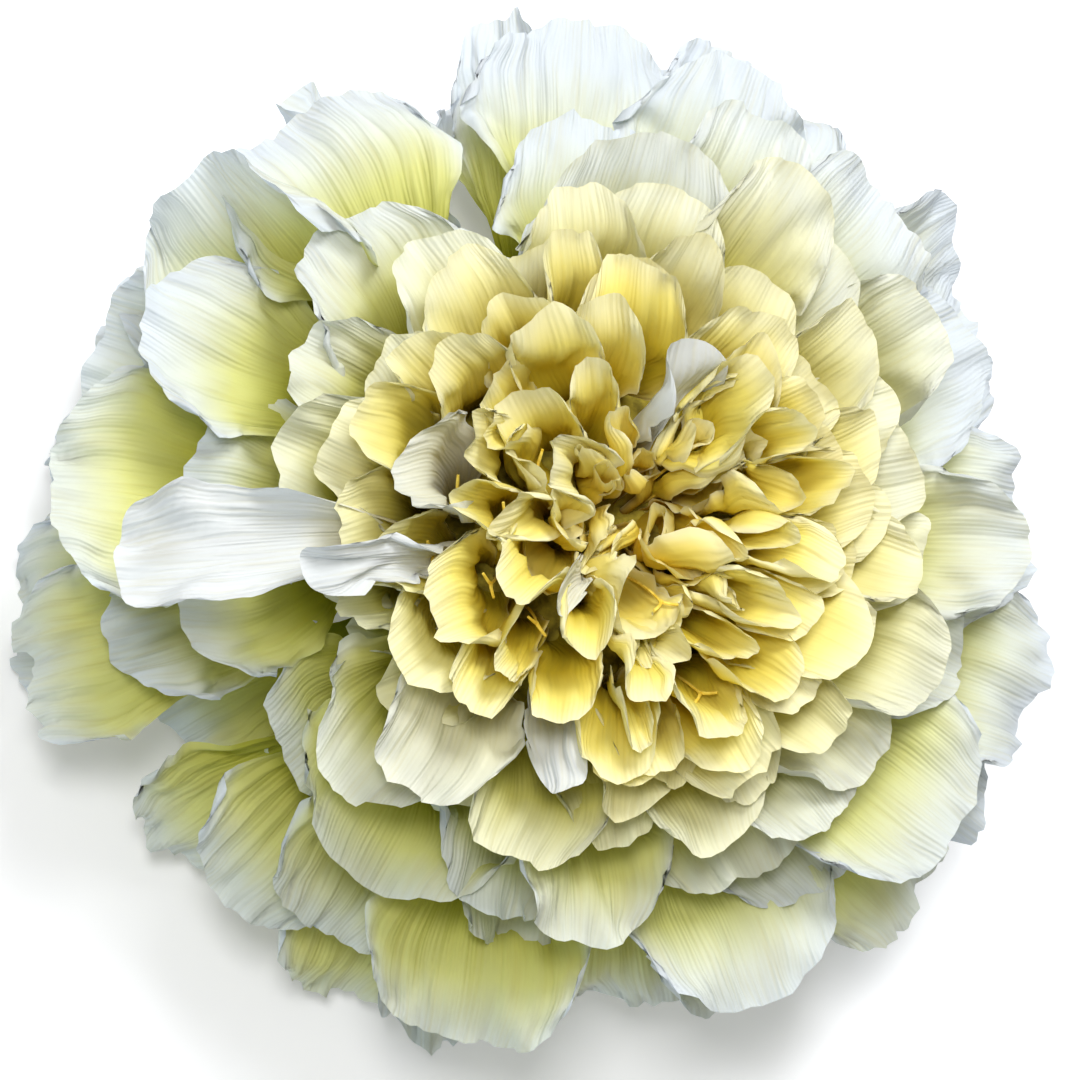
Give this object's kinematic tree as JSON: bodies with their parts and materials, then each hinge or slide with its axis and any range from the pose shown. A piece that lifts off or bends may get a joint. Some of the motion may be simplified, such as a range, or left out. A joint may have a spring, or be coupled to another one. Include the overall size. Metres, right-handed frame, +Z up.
{
  "type": "african marigold flower",
  "caption": "Double African marigold head with layers of ruffled cream ray florets, a crinkled golden heart, a green cup of bracts and a short cut stalk, lying face up.",
  "frame": {"origin": "centre of the flower's box, on the surface that the lowest florets rest on", "axes": "+Z up, out of the face of the head; +Y towards the top of the picture and +X towards its right, where the heart leans"},
  "size_m": [0.088, 0.0874, 0.0495],
  "materials": {
    "ray_petal": "soft satin petal, cream white with a pale yellow green base",
    "heart_petal": "soft satin petal, golden yellow with a paler lip",
    "bract": "matt green with oil glands",
    "stalk": "matt green, finely ribbed"
  },
  "bodies": {
    "root": {"ray_florets": "ray_petal", "centre_florets": "heart_petal", "involucre": "bract", "stalk_stub": "stalk"}
  },
  "joints": []
}
